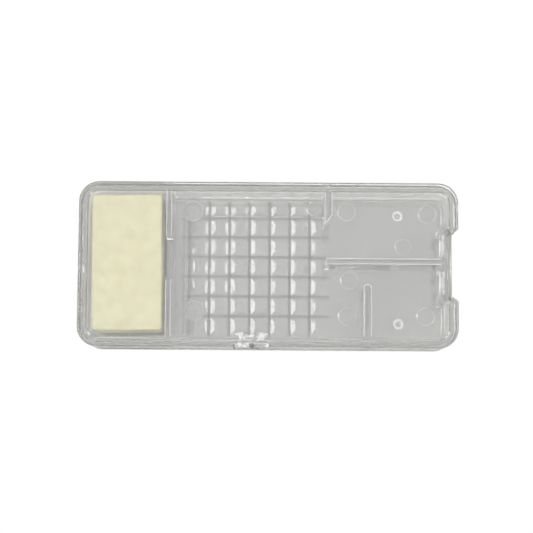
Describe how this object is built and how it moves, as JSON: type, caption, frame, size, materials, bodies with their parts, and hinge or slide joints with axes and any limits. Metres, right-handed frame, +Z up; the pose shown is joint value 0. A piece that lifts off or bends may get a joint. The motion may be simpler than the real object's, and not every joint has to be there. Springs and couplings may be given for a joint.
{
  "type": "queen cage",
  "caption": "Clear moulded box for posting and introducing a queen bee: ventilated chamber, candy compartment, two exit tunnels, clip-on lid and pull-up exit shutter.",
  "frame": {"origin": "centre of the tray's underside, on the supporting surface", "axes": "+X along the length towards the exit end, +Y towards the plain long side (the catch is on -Y), +Z up through the lid"},
  "size_m": [0.0816, 0.0356, 0.0135],
  "materials": {
    "clear_plastic": "polished moulded polystyrene",
    "candy_paste": "matte, slightly grainy sugar paste"
  },
  "bodies": {
    "tray": {"base_tray": "clear_plastic", "candy_block": "candy_paste"},
    "lid": {"lid": "clear_plastic"},
    "shutter": {"exit_shutter": "clear_plastic"}
  },
  "joints": [
    {"name": "lid_lift", "type": "slide", "parent": "tray", "child": "lid", "axis": [0, 0, 1], "range_m": [0, 0.02]},
    {"name": "shutter_lift", "type": "slide", "parent": "tray", "child": "shutter", "axis": [0, 0, 1], "range_m": [0, 0.008]}
  ]
}
